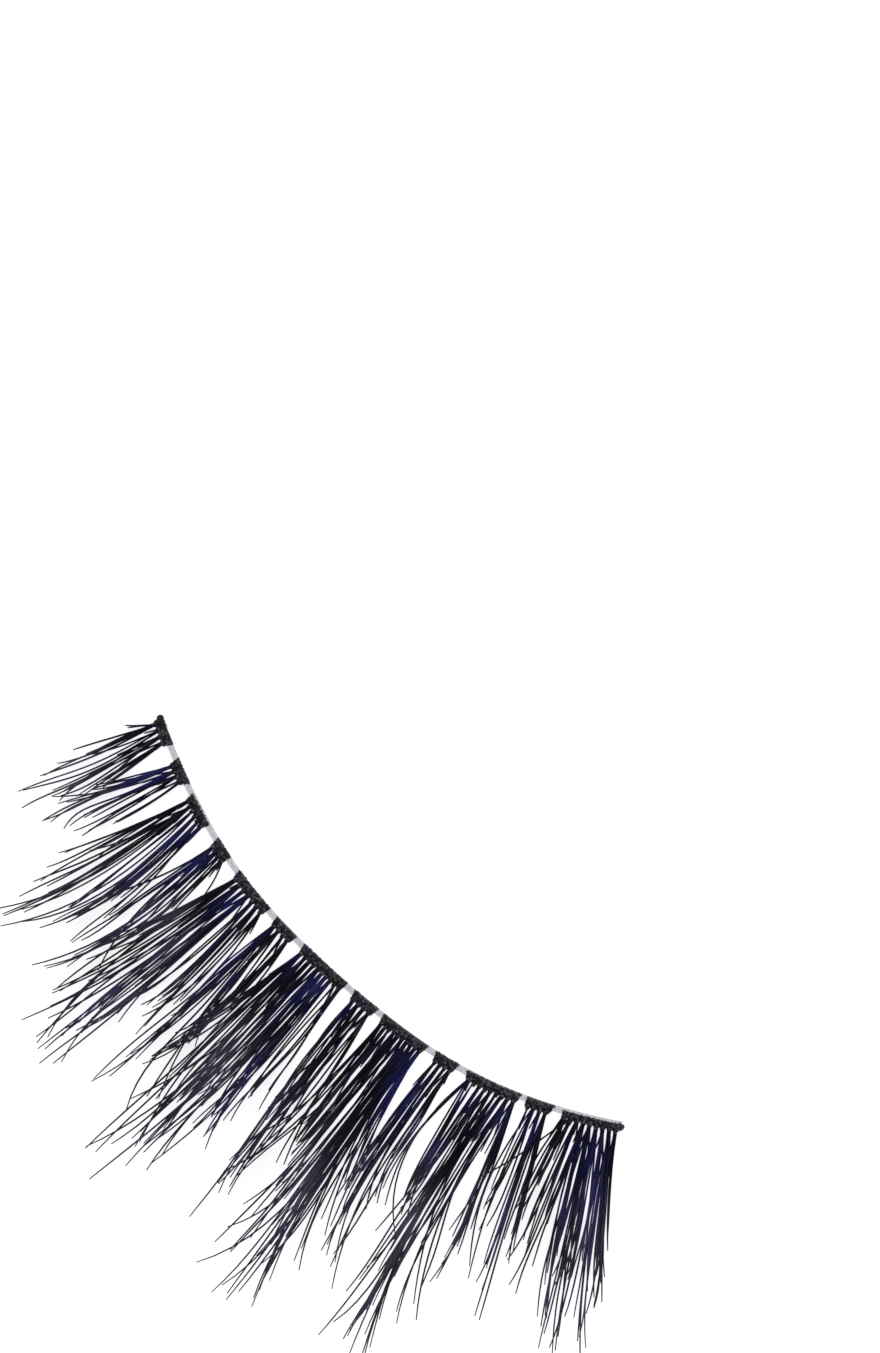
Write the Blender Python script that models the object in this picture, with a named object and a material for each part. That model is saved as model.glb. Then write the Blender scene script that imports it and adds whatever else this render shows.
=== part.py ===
"""False eyelash strip: a clear curved band, thirteen knotted bars wound round it, and a cluster of lashes in each.

The strip lies on Z = 0 and is seen from above. +X runs along the chord of the band, +Y points to the eyelid side,
and the lashes point to -Y and curl up to +Z. The origin is the middle of the strip's box, on the surface.
"""

import math

import bmesh
import bpy
from mathutils import Vector

MM = 0.001  # every size and table below is in millimetres and degrees
CAP_WELD = 0.0005 * MM  # joins the loose caps of a swept curve to its sides
SMOOTH_ANGLE = 50.0

# Edge of the knots on the eyelid side, as a chain of arcs from the left end
EDGE_START = (-15.72, 0.02)
EDGE_HEADING = -29.0
EDGE_ARCS = (  # length, turn to the left
    (6.0, 9.8),
    (6.0, 14.6),
    (9.0, 10.6),
    (6.5, 15.3),
    (6.5, 12.6),
)

# Clear band, a flat ribbon
BAND_WIDTH = 0.30
BAND_THICKNESS = 0.12
BAND_SIDES = 6
BAND_PAST_KNOTS = 0.10
BAND_STEP = 1.6

# Knotted bars, measured square to the band
BAR_DEPTH = 0.52
BAR_HEIGHT = 0.40
BAR_FOOT = 0.32  # flat underside that is glued to the lid
KNOT_WAIST = 0.04  # how far the thread dips between two knots
BAND_PLAY = 0.025  # clearance round the band inside a bar
TUNNEL_STEP = 2.0

# Lash clusters
ROOT_GAP = 0.03
ROOT_DEPTH = 0.26
ROOT_THICKNESS = 0.18
LOCK_HALF_WIDTH = 0.23
LOCK_FLATNESS = 0.45  # thickness of a lock to its width
LOCK_SIDES = 6
LOCK_TAPER = (  # share of the length, share of the full width
    (0.00, 0.55),
    (0.30, 1.00),
    (0.60, 0.86),
    (0.83, 0.52),
    (1.00, 0.10),
)
LYING_SHARE = 0.30  # share of a lock's length that lies on the surface before it curls up
CURL_POWER = 2.0
TIP_RISES = (0.30, 0.23, 0.34)  # height of a tip to its lock's length, by turns along a cluster
UPPER_LAYER = 0.22  # height of every second lock over its neighbours

# One row a bar: where it starts and ends along the edge, and its number of knots
BARS = (
    (0.00, 1.60, 4),
    (2.20, 3.75, 4),
    (4.15, 6.10, 6),
    (6.75, 8.05, 4),
    (8.75, 11.35, 7),
    (11.75, 13.35, 4),
    (13.75, 16.85, 10),
    (17.25, 18.90, 4),
    (19.15, 22.05, 10),
    (22.45, 23.90, 4),
    (24.25, 27.45, 9),
    (27.65, 29.25, 4),
    (29.75, 32.95, 9),
)

# One row a lock, cluster by cluster: share of the bar at its root, X and Y of its tip, and the bend at its root
LOCKS = (
    (
        (0.10, -18.6, -7.8, -3),
        (0.36, -17.9, -8.3, -3),
        (0.64, -17.1, -6.2, -2),
        (0.90, -16.2, -5.9, 0),
    ),
    (
        (0.10, -16.7, -6.9, 2),
        (0.36, -16.5, -8.1, 0),
        (0.64, -15.1, -7.4, -2),
        (0.90, -14.1, -5.8, -2),
    ),
    (
        (0.08, -14.9, -8.7, 2),
        (0.25, -14.9, -10.9, 0),
        (0.42, -15.3, -13.7, 4),
        (0.58, -13.5, -12.6, 2),
        (0.76, -12.6, -11.7, 4),
        (0.92, -11.2, -8.8, 2),
    ),
    (
        (0.12, -12.1, -13.8, 6),
        (0.36, -11.2, -12.0, 5),
        (0.62, -10.4, -12.1, 4),
        (0.88, -9.7, -11.6, 8),
    ),
    (
        (0.06, -10.9, -16.3, -2),
        (0.20, -9.8, -16.4, -3),
        (0.35, -9.0, -16.7, -2),
        (0.50, -8.1, -17.2, 2),
        (0.66, -7.5, -13.5, 2),
        (0.80, -6.4, -11.7, 0),
        (0.94, -6.1, -13.0, 4),
    ),
    (
        (0.10, -5.8, -16.2, -2),
        (0.36, -4.7, -13.9, 0),
        (0.64, -4.1, -16.1, 2),
        (0.90, -3.7, -13.5, 8),
    ),
    (
        (0.05, -3.6, -19.0, -2),
        (0.18, -3.1, -20.0, 0),
        (0.31, -2.2, -18.2, 0),
        (0.44, -1.2, -17.8, 0),
        (0.57, -0.7, -16.7, 0),
        (0.70, -0.4, -14.4, 0),
        (0.83, 0.4, -15.0, 0),
        (0.95, 0.5, -11.7, 3),
    ),
    (
        (0.10, 2.2, -18.0, -8),
        (0.36, 2.6, -16.2, 0),
        (0.64, 3.0, -15.9, -2),
        (0.90, 2.9, -11.7, 2),
    ),
    (
        (0.06, 3.7, -13.1, -2),
        (0.21, 4.4, -18.1, -1),
        (0.36, 5.0, -19.4, 0),
        (0.50, 6.0, -20.0, 2),
        (0.64, 6.6, -19.9, 1),
        (0.79, 7.4, -18.9, 2),
        (0.94, 7.9, -16.3, 3),
    ),
    (
        (0.12, 8.5, -14.8, -4),
        (0.36, 9.6, -14.7, -4),
        (0.62, 9.7, -16.0, 0),
        (0.88, 9.0, -11.5, -2),
    ),
    (
        (0.08, 9.7, -10.3, -6),
        (0.22, 10.9, -15.5, -2),
        (0.36, 11.6, -18.0, -2),
        (0.50, 13.0, -17.9, -2),
        (0.65, 13.8, -17.3, -1),
        (0.80, 14.3, -14.3, -2),
        (0.94, 13.6, -10.5, 0),
    ),
    (
        (0.12, 13.3, -7.9, -6),
        (0.38, 13.9, -8.9, -2),
        (0.64, 15.3, -11.0, 0),
        (0.88, 16.4, -12.1, 2),
    ),
    (
        (0.08, 15.9, -8.4, -6),
        (0.22, 17.2, -9.8, -4),
        (0.38, 20.0, -11.1, 2),
        (0.52, 21.0, -11.3, 2),
        (0.67, 21.9, -10.3, 2),
        (0.82, 20.9, -7.6, 0),
        (0.95, 19.3, -4.9, 0),
    ),
)


def edge_point(station, inward=0.0):
    """Point in plan at a station along the knots' edge, moved inward towards the lashes, and the heading there."""
    x, y = EDGE_START
    heading = math.radians(EDGE_HEADING)
    left = station
    for length, turn in EDGE_ARCS:
        step = min(left, length)
        bend = math.radians(turn) / length
        ahead = heading + bend * step
        x += (math.sin(ahead) - math.sin(heading)) / bend
        y += (math.cos(heading) - math.cos(ahead)) / bend
        heading = ahead
        left -= step
        if left <= 0.0:
            break
    return Vector((x + inward * math.sin(heading), y - inward * math.cos(heading))), heading


def principled(name, colour, roughness, metallic=0.0, transmission=0.0):
    """Material of one sub-part."""
    material = bpy.data.materials.new(name)
    material.use_nodes = True
    shader = material.node_tree.nodes["Principled BSDF"]
    shader.inputs["Base Color"].default_value = (*colour, 1.0)
    shader.inputs["Roughness"].default_value = roughness
    shader.inputs["Metallic"].default_value = metallic
    shader.inputs["Transmission Weight"].default_value = transmission
    return material


def oval_profile(name, half_width, half_thickness, sides, guides):
    """Closed outline that a curve is bevelled with."""
    data = bpy.data.curves.new(name, "CURVE")
    spline = data.splines.new("POLY")
    spline.points.add(sides - 1)
    for number, point in enumerate(spline.points):
        angle = 2.0 * math.pi * number / sides
        point.co = (half_width * math.cos(angle) * MM, half_thickness * math.sin(angle) * MM, 0.0, 1.0)
    spline.use_cyclic_u = True
    profile = bpy.data.objects.new(name, data)
    profile.hide_render = True
    profile.display_type = "WIRE"
    guides.objects.link(profile)
    return profile


def finished(name, shape, material, collection):
    """Object of a closed shape, with its faces pointing out, its material and smooth shading."""
    bmesh.ops.recalc_face_normals(shape, faces=shape.faces)
    mesh = bpy.data.meshes.new(name)
    shape.to_mesh(mesh)
    shape.free()
    mesh.materials.append(material)
    mesh.shade_smooth()
    mesh.set_sharp_from_angle(angle=math.radians(SMOOTH_ANGLE))
    piece = bpy.data.objects.new(name, mesh)
    collection.objects.link(piece)
    return piece


def swept(name, route, profile, material, collection):
    """Closed mesh of a profile swept along (x, y, z, width share) points."""
    data = bpy.data.curves.new(name, "CURVE")
    data.dimensions = "3D"
    data.twist_mode = "Z_UP"
    data.bevel_mode = "OBJECT"
    data.bevel_object = profile
    data.use_fill_caps = True
    spline = data.splines.new("POLY")
    spline.points.add(len(route) - 1)
    for point, (x, y, z, share) in zip(spline.points, route):
        point.co = (x * MM, y * MM, z * MM, 1.0)
        point.radius = share
    curve = bpy.data.objects.new(name + "_curve", data)
    collection.objects.link(curve)
    bpy.context.view_layer.update()
    tube = bpy.data.meshes.new_from_object(curve.evaluated_get(bpy.context.evaluated_depsgraph_get()))
    shape = bmesh.new()
    shape.from_mesh(tube)
    bpy.data.objects.remove(curve)
    bpy.data.meshes.remove(tube)
    bmesh.ops.remove_doubles(shape, verts=shape.verts, dist=CAP_WELD)
    return finished(name, shape, material, collection)


def clear_band(profile, material, collection):
    """Ribbon from just past the first knot to just past the last one."""
    first = BARS[0][0] - BAND_PAST_KNOTS
    last = BARS[-1][1] + BAND_PAST_KNOTS
    steps = round((last - first) / BAND_STEP)
    route = []
    for number in range(steps + 1):
        place, _ = edge_point(first + (last - first) * number / steps, BAR_DEPTH / 2.0)
        route.append((place.x, place.y, BAR_HEIGHT / 2.0, 1.0))
    return swept("clear_band", route, profile, material, collection)


def knot_ring(waist):
    """Outline of a bar square to the band, as inward and up sizes. The underside stays flat at a waist."""
    middle = BAR_DEPTH / 2.0
    half_foot = BAR_FOOT / 2.0
    top = BAR_HEIGHT - waist
    return (
        (middle - half_foot, 0.0),
        (middle + half_foot, 0.0),
        (BAR_DEPTH - waist, BAR_HEIGHT / 2.0),
        (middle + half_foot - waist, top),
        (middle - half_foot + waist, top),
        (waist, BAR_HEIGHT / 2.0),
    )


def tunnel_ring():
    """Outline of the way for the band through a bar, with the same order of points as a knot's."""
    middle = BAR_DEPTH / 2.0
    centre = BAR_HEIGHT / 2.0
    half_width = BAND_WIDTH / 2.0 + BAND_PLAY
    half_height = BAND_THICKNESS / 2.0 + BAND_PLAY
    shoulder = half_width / 2.0
    return (
        (middle - shoulder, centre - half_height),
        (middle + shoulder, centre - half_height),
        (middle + half_width, centre),
        (middle + shoulder, centre + half_height),
        (middle - shoulder, centre + half_height),
        (middle - half_width, centre),
    )


def ring_vertices(shape, station, outline):
    """Vertices of an outline set square to the band."""
    vertices = []
    for inward, up in outline:
        place, _ = edge_point(station, inward)
        vertices.append(shape.verts.new((place.x * MM, place.y * MM, up * MM)))
    return vertices


def join_rings(shape, first, second):
    """Band of faces between two rings."""
    for number, corner in enumerate(first):
        after = (number + 1) % len(first)
        shape.faces.new((corner, first[after], second[after], second[number]))


def knot_bar(name, start, end, knots, material, collection):
    """Sleeve round the band whose outside swells at each knot."""
    shape = bmesh.new()
    stations = [start + (end - start) * half / (2 * knots) for half in range(2 * knots + 1)]
    outer = [
        ring_vertices(shape, station, knot_ring(0.0 if half % 2 else KNOT_WAIST))
        for half, station in enumerate(stations)
    ]
    runs = math.ceil((end - start) / TUNNEL_STEP)
    inner = [
        ring_vertices(shape, start + (end - start) * run / runs, tunnel_ring()) for run in range(runs + 1)
    ]
    for rings in (outer, inner):
        for first, second in zip(rings, rings[1:]):
            join_rings(shape, first, second)
    join_rings(shape, outer[0], inner[0])
    join_rings(shape, outer[-1], inner[-1])
    return finished(name, shape, material, collection)


def lock_height(share, length, number):
    """Height of a lock's middle line: down from the knots to the surface, along it, then curling up to the tip."""
    lying = LOCK_HALF_WIDTH * LOCK_FLATNESS + UPPER_LAYER * (number % 2)
    knots = BAR_HEIGHT / 2.0
    settled = min(share / (0.5 * LYING_SHARE), 1.0)
    curled = max(share - LYING_SHARE, 0.0) / (1.0 - LYING_SHARE)
    rise = TIP_RISES[number % len(TIP_RISES)] * length
    return knots + (lying - knots) * settled + rise * curled**CURL_POWER


def lock_route(start, end, number, row):
    """Points of one lock, bowed in plan so that it leaves its knot at the row's bend to the straight line."""
    share_of_bar, tip_x, tip_y, bend = row
    root, _ = edge_point(start + (end - start) * share_of_bar, BAR_DEPTH + ROOT_GAP + ROOT_DEPTH / 2.0)
    tip = Vector((tip_x, tip_y))
    length = (tip - root).length
    turn = math.radians(bend)
    straight = (tip - root) / 2.0
    bowed = root + Vector((
        straight.x * math.cos(turn) - straight.y * math.sin(turn),
        straight.x * math.sin(turn) + straight.y * math.cos(turn),
    ))
    route = []
    for share, width in LOCK_TAPER:
        place = root * (1.0 - share) ** 2 + bowed * 2.0 * share * (1.0 - share) + tip * share**2
        route.append((place.x, place.y, lock_height(share, length, number), width))
    return route


def root_strip(name, start, end, profile, material, collection):
    """Roots of a cluster pressed together along their bar."""
    route = []
    for share in (0.03, 0.35, 0.65, 0.97):
        place, _ = edge_point(start + (end - start) * share, BAR_DEPTH + ROOT_GAP + ROOT_DEPTH / 2.0)
        route.append((place.x, place.y, BAR_HEIGHT / 2.0, 1.0))
    return swept(name, route, profile, material, collection)


def lash_cluster(name, bar, locks, profiles, material, collection, helpers):
    """Root strip with its locks fused on."""
    start, end, _ = bar
    cluster = root_strip(name, start, end, profiles["root"], material, collection)
    members = bpy.data.collections.new(name + "_locks")
    helpers.children.link(members)
    for number, row in enumerate(locks):
        route = lock_route(start, end, number, row)
        lock = swept(f"{name}_lock_{number + 1}", route, profiles["lock"], material, members)
        lock.hide_render = True
        lock.display_type = "WIRE"
    fuse = cluster.modifiers.new("fuse_locks", "BOOLEAN")
    fuse.operation = "UNION"
    fuse.solver = "EXACT"
    fuse.operand_type = "COLLECTION"
    fuse.collection = members
    return cluster


def stand_on_origin(pieces, helpers):
    """Moves everything so that the origin is the middle of the strip's box, on the surface."""
    bpy.context.view_layer.update()
    graph = bpy.context.evaluated_depsgraph_get()
    corners = []
    for piece in pieces:
        mesh = piece.evaluated_get(graph).to_mesh()
        corners.extend(vertex.co.copy() for vertex in mesh.vertices)
        piece.evaluated_get(graph).to_mesh_clear()
    low = Vector(min(corner[axis] for corner in corners) for axis in range(3))
    high = Vector(max(corner[axis] for corner in corners) for axis in range(3))
    shift = Vector((-(low.x + high.x) / 2.0, -(low.y + high.y) / 2.0, -low.z))
    for piece in (*pieces, *helpers.all_objects):
        piece.location += shift


def build():
    for leftover in list(bpy.data.objects):
        bpy.data.objects.remove(leftover)
    strip = bpy.data.collections.new("false_eyelash_strip")
    helpers = bpy.data.collections.new("lock_shapes")
    helpers.hide_render = True
    for collection in (strip, helpers):
        bpy.context.scene.collection.children.link(collection)

    nylon = principled("clear_nylon", (0.86, 0.86, 0.88), 0.22, transmission=0.7)
    thread = principled("black_knot_thread", (0.020, 0.020, 0.026), 0.55)
    hair = principled("black_lash_hair", (0.012, 0.010, 0.026), 0.42)

    band_profile = oval_profile("band_profile", BAND_WIDTH / 2.0, BAND_THICKNESS / 2.0, BAND_SIDES, helpers)
    profiles = {
        "root": oval_profile("root_profile", ROOT_DEPTH / 2.0, ROOT_THICKNESS / 2.0, LOCK_SIDES, helpers),
        "lock": oval_profile(
            "lock_profile", LOCK_HALF_WIDTH, LOCK_HALF_WIDTH * LOCK_FLATNESS, LOCK_SIDES, helpers
        ),
    }

    pieces = [clear_band(band_profile, nylon, strip)]
    for number, (bar, locks) in enumerate(zip(BARS, LOCKS), start=1):
        pieces.append(knot_bar(f"knot_bar_{number:02d}", *bar, thread, strip))
        pieces.append(lash_cluster(f"lash_cluster_{number:02d}", bar, locks, profiles, hair, strip, helpers))
    stand_on_origin(pieces, helpers)


build()
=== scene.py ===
"""Looks of a false eyelash strip: a clear nylon band, knotted bars round it, and clusters of curled lashes.

The strip lies on a white table and is seen from straight above. +X runs along the chord of the band, +Y
points to the eyelid side, and the lashes point to -Y and curl up. Sizes are in millimetres until they go
into a mesh.
"""

import math

import bpy
import numpy as np
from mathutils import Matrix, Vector


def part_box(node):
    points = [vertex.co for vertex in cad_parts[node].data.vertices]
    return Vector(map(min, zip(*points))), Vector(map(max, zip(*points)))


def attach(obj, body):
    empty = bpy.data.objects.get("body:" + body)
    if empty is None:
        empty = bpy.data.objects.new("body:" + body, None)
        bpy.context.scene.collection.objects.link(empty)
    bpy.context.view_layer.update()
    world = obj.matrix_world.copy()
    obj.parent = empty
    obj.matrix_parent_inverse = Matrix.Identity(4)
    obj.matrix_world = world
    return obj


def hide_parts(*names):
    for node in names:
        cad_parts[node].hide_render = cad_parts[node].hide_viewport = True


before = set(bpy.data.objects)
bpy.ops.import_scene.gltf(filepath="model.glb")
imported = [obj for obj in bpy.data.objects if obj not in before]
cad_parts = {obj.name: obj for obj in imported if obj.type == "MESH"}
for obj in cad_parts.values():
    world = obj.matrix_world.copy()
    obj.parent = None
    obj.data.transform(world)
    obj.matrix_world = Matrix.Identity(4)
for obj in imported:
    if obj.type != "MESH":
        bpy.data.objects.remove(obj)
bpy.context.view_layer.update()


# Camera
# The photo is taken from straight above with a long lens. The camera comes first, because the lashes curl
# up towards it, and their tips are laid out so that they show where the photo has them.

MM = 0.001  # a millimetre in Blender's metres
PHOTO_SIZE = (880, 1353)
PHOTO_SCALE = 19.6  # pixels of the photo to a millimetre
PHOTO_ENDS = ((163, 716), (622, 1128))  # pixels where the knots' edge begins and ends
LENS = 200.0  # focal length
SENSOR = 36.0  # the long side of the picture, as the lens sees it
FOCUS_UP = 0.20  # height, in millimetres, of the plane that the photo's scale holds for

(left_x, left_y), (right_x, right_y) = PHOTO_ENDS
PHOTO_TURN = math.atan2(right_y - left_y, right_x - left_x)
aside = (PHOTO_SIZE[0] - left_x - right_x) / 2.0 / PHOTO_SCALE
down = (PHOTO_SIZE[1] - left_y - right_y) / 2.0 / PHOTO_SCALE
AXIS_X = aside * math.cos(PHOTO_TURN) + down * math.sin(PHOTO_TURN)
AXIS_Y = aside * math.sin(PHOTO_TURN) - down * math.cos(PHOTO_TURN)
CAMERA_UP = PHOTO_SIZE[1] / PHOTO_SCALE * LENS / SENSOR

camera_data = bpy.data.cameras.new("overhead_camera")
camera_data.lens = LENS
camera_data.sensor_width = SENSOR
camera_data.clip_start = 0.01
camera_data.clip_end = 5.0
camera = bpy.data.objects.new("overhead_camera", camera_data)
camera.rotation_euler = (0.0, 0.0, PHOTO_TURN)
bpy.context.scene.collection.objects.link(camera)
bpy.context.scene.camera = camera
bpy.context.scene.view_settings.view_transform = "Standard"


# Clear band
# Two clear nylon lines laid side by side and heat-set together to the curve of the lid. The band is one
# continuous piece: the knots are tied round it, and it shows bare between the bars.

EDGE_START = (-15.72, 0.02)  # left end of the knots' edge on the eyelid side
EDGE_HEADING = -29.0  # degrees that the edge runs off the chord there
EDGE_ARCS = ((6.0, 9.8), (6.0, 14.6), (9.0, 10.6), (6.5, 15.3), (6.5, 12.6))  # length, degrees to the left
EDGE_SAMPLES = 200  # places where the edge is measured
STRIP_LENGTH = 32.95
BAR_DEPTH = 0.52  # how deep the knots are, square to the band
BAR_HEIGHT = 0.40
BAND_PAST_KNOTS = 0.10  # how far the solid's band runs on past the first and last knots
NYLON_LINE = 0.19  # diameter of one of the two lines
NYLON_SPREAD = 0.14  # between their middles
NYLON_INWARD = 0.19  # middle of the pair, from the knots' edge
NYLON_INSET = (0.08, 0.30)  # how far inside the knots' edge the lines begin and end
NYLON_RINGS = 134
NYLON_SIDES = 12
NYLON_CLEAR = "#DCDCE2"
NYLON_MARKS = 0.9  # drawing marks to a millimetre; real ones are 50 times finer and wouldn't show


def edge_place(station, inward):
    """X, Y and heading at stations along the knots' edge, for points moved inward towards the lashes."""
    station = np.asarray(station, float)
    x = np.full(station.shape, EDGE_START[0])
    y = np.full(station.shape, EDGE_START[1])
    heading = np.full(station.shape, math.radians(EDGE_HEADING))
    begun = 0.0
    for number, (length, turn) in enumerate(EDGE_ARCS):
        low = -np.inf if number == 0 else 0.0
        high = np.inf if number == len(EDGE_ARCS) - 1 else length
        step = np.clip(station - begun, low, high)
        bend = math.radians(turn) / length
        ahead = heading + bend * step
        x = x + (np.sin(ahead) - np.sin(heading)) / bend
        y = y + (np.cos(heading) - np.cos(ahead)) / bend
        heading = ahead
        begun += length
    return x + inward * np.sin(heading), y - inward * np.cos(heading), heading


band_low, band_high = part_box("clear_band")
ends_x, ends_y, _ = edge_place(
    np.linspace(-BAND_PAST_KNOTS, STRIP_LENGTH + BAND_PAST_KNOTS, EDGE_SAMPLES), BAR_DEPTH / 2.0
)
SHIFT_X = (band_low.x + band_high.x) / 2.0 / MM - (ends_x.min() + ends_x.max()) / 2.0
SHIFT_Y = (band_low.y + band_high.y) / 2.0 / MM - (ends_y.min() + ends_y.max()) / 2.0
camera.location = ((AXIS_X + SHIFT_X) * MM, (AXIS_Y + SHIFT_Y) * MM, (FOCUS_UP + CAMERA_UP) * MM)


def laid_on_edge(points):
    """Points given as station, inward and up, put in their place along the curved edge, in metres."""
    x, y, _ = edge_place(points[:, 0], points[:, 1])
    return np.column_stack([(x + SHIFT_X) * MM, (y + SHIFT_Y) * MM, points[:, 2] * MM])


def linear(code):
    """Linear colour of an sRGB hex value."""
    parts = (int(code[place : place + 2], 16) / 255.0 for place in (1, 3, 5))
    levels = [part / 12.92 if part <= 0.04045 else ((part + 0.055) / 1.055) ** 2.4 for part in parts]
    return (*levels, 1.0)


def add_node(material, kind, settings=None, inputs=None, links=None):
    """One shader node with its settings, its fixed inputs, and links from (node, output) pairs."""
    node = material.node_tree.nodes.new(kind)
    for key, value in (settings or {}).items():
        setattr(node, key, value)
    for key, value in (inputs or {}).items():
        node.inputs[key].default_value = value
    for key, (source, output) in (links or {}).items():
        material.node_tree.links.new(source.outputs[output], node.inputs[key])
    return node


def named_material(name):
    """Material with its own Principled shader, and that shader."""
    material = bpy.data.materials.new(name)
    material.use_nodes = True
    return material, material.node_tree.nodes["Principled BSDF"]


def joined_piece(name, points, faces, material):
    """Smooth mesh object from arrays of points, in metres, and of faces."""
    mesh = bpy.data.meshes.new(name)
    mesh.from_pydata(points.tolist(), [], faces)
    mesh.materials.append(material)
    mesh.shade_smooth()
    piece = bpy.data.objects.new(name, mesh)
    bpy.context.scene.collection.objects.link(piece)
    return piece


def tubes(routes, widths, sides):
    """Points and faces of closed round tubes along routes (tube, ring, xyz), with a radius at each ring."""
    count, rings, _ = routes.shape
    ahead = np.gradient(routes, axis=1)
    ahead /= np.linalg.norm(ahead, axis=2, keepdims=True)
    across = np.cross(ahead, np.array([0.0, 0.0, 1.0]))
    across /= np.maximum(np.linalg.norm(across, axis=2, keepdims=True), 1e-9)
    over = np.cross(ahead, across)
    angles = 2.0 * np.pi * np.arange(sides) / sides
    turned = np.column_stack([np.cos(angles), np.sin(angles)])[None, None]
    circle = turned[..., :1] * across[:, :, None] + turned[..., 1:] * over[:, :, None]
    points = (routes[:, :, None] + widths[:, :, None, None] * circle).reshape(-1, 3)
    ring = np.arange(sides)
    after = (ring + 1) % sides
    wall = [
        (row * sides + a, row * sides + b, (row + 1) * sides + b, (row + 1) * sides + a)
        for row in range(rings - 1)
        for a, b in zip(ring.tolist(), after.tolist())
    ]
    first_cap = tuple(reversed(range(sides)))
    last_cap = tuple((rings - 1) * sides + corner for corner in range(sides))
    stride = rings * sides
    faces = [
        tuple(tube * stride + corner for corner in face)
        for tube in range(count)
        for face in (*wall, first_cap, last_cap)
    ]
    return points, faces


def clear_nylon():
    """Nylon 6 monofilament, drawn and heat-set: clear and glossy, with edges that show a little grey."""
    material, shader = named_material("clear_nylon_monofilament")
    shader.inputs["Base Color"].default_value = linear(NYLON_CLEAR)
    shader.inputs["Transmission Weight"].default_value = 0.85
    shader.inputs["IOR"].default_value = 1.53
    place = add_node(material, "ShaderNodeTexCoord")
    drawn = add_node(
        material, "ShaderNodeTexNoise", None,
        {"Scale": NYLON_MARKS / MM, "Detail": 3.0}, {"Vector": (place, "Object")},
    )
    gloss = add_node(
        material, "ShaderNodeMapRange", None, {"To Min": 0.10, "To Max": 0.26}, {"Value": (drawn, "Fac")}
    )
    material.node_tree.links.new(gloss.outputs["Result"], shader.inputs["Roughness"])
    return material


nylon_stations = np.linspace(NYLON_INSET[0], STRIP_LENGTH - NYLON_INSET[1], NYLON_RINGS)
nylon_routes = np.stack([
    laid_on_edge(np.column_stack([
        nylon_stations,
        np.full(nylon_stations.shape, NYLON_INWARD + side * NYLON_SPREAD / 2.0),
        np.full(nylon_stations.shape, BAR_HEIGHT / 2.0),
    ]))
    for side in (-1.0, 1.0)
])
nylon_radius = np.full(nylon_routes.shape[:2], NYLON_LINE / 2.0 * MM)
nylon_points, nylon_faces = tubes(nylon_routes, nylon_radius, NYLON_SIDES)
clear_band = joined_piece("nylon_band", nylon_points, nylon_faces, clear_nylon())
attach(clear_band, "root")
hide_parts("clear_band")


# Knotted bars
# Each bundle of lashes is tied round the band by hand with black thread, and the knots of a cluster are
# pushed together into a bar. Dark glue sets them hard, so that they look like a row of small glossy beads.

BARS = (
    # start, end, knots, bare band on the eyelid side, and how far each end leans in on the lash side
    (-0.10, 1.60, 4, 0.00, 0.20, 0.16),
    (2.20, 3.75, 4, 0.00, 0.20, 0.21),
    (4.15, 6.10, 6, 0.10, 0.18, 0.10),
    (6.75, 8.05, 4, 0.00, 0.22, 0.05),
    (8.75, 11.35, 7, 0.00, 0.15, 0.08),
    (11.75, 13.35, 4, 0.05, 0.17, 0.13),
    (13.75, 16.85, 10, 0.00, 0.15, 0.10),
    (17.25, 18.90, 4, 0.00, 0.14, 0.17),
    (19.15, 22.05, 10, 0.03, 0.12, 0.16),
    (22.45, 23.90, 4, 0.00, 0.12, 0.19),
    (24.25, 27.45, 9, 0.06, 0.22, 0.22),
    (27.60, 29.25, 4, 0.05, 0.08, 0.30),
    (29.58, 32.95, 9, 0.12, 0.02, 0.36),
)
THREAD = 0.095  # diameter of the tying thread
THREAD_SIDES = 8
TURNS = 3  # turns of thread in a knot
TURN_RINGS = 16
TURN_LOOSE = 0.010  # spread of how far a turn stands out
TURN_DRIFT = 0.018  # spread of how far it slips along the band
KNOT_SWELL = 0.012  # how much fuller the turns are in the middle of a knot
SWELL_UP = 0.004  # the most that they gain in height
STRAND = 0.42  # half width of a strand that crosses the turns, in threads
STRAND_SUNK = 0.25  # how far its middle lies under the bar's top, in threads
STRAND_LEAN = (0.25, 0.5)  # how far it leans along the bar, in knots
STRAND_STRAY = 0.02  # spread of its place along the bar
STRAND_RINGS = 13
STRAND_SIDES = 6
KNOT_TAIL = 0.20  # how far a knot's lower end reaches past the bar, where its hairs come out
TAIL_FROM = 0.62  # share of the bar's depth where that drop-shaped end begins
TAIL_DROP = 0.03  # how far its tip sinks
TAIL_STRAY = 0.012  # spread of its place along the bar
TAIL_SHARES = (0.0, 0.45, 0.75, 1.0)  # places along it of its top, its fullest part, its waist and its end
TAIL_TOP = 0.13  # half widths there; the fullest part takes half a knot
TAIL_WAIST = 0.115
TAIL_END = 0.085
TAIL_RINGS = 7
TAIL_SIDES = 10
CORE_INSET = 0.34  # how deep the bar's set core lies under the outside of the turns, in threads
CORE_RINGS = 9
CORE_SIDES = 12
STOPPERS = ((1, -0.06), (13, 32.90))  # the strip's end bars, and the stations of their stopper knots
STOPPER_FROM = 0.04  # from the bar's eyelid side
STOPPER_LENGTH = 0.34
STOPPER_RADIUS = 0.14
STOPPER_BLUNT = 0.02  # keeps its poles from shrinking to nothing
STOPPER_RINGS = 9
STOPPER_SIDES = 10
THREAD_BLACK = "#16161B"
THREAD_INDIGO = "#23213F"
# light grey of the painted glints on the thread
THREAD_GLINT = "#777783"
THREAD_FIBRES = 9.0  # to a millimetre; the thread's real filaments, about 60, are too fine to show
THREAD_GLINTS = 7.0  # to a millimetre; a painted glint is a little wider than the thread
THREAD_BLOTS = 1.8  # to a millimetre; the dye gathers in blots about half a millimetre long
FIBRE_RELIEF = 0.02  # height of the filaments on the thread
KNOT_SEED = 11


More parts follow.
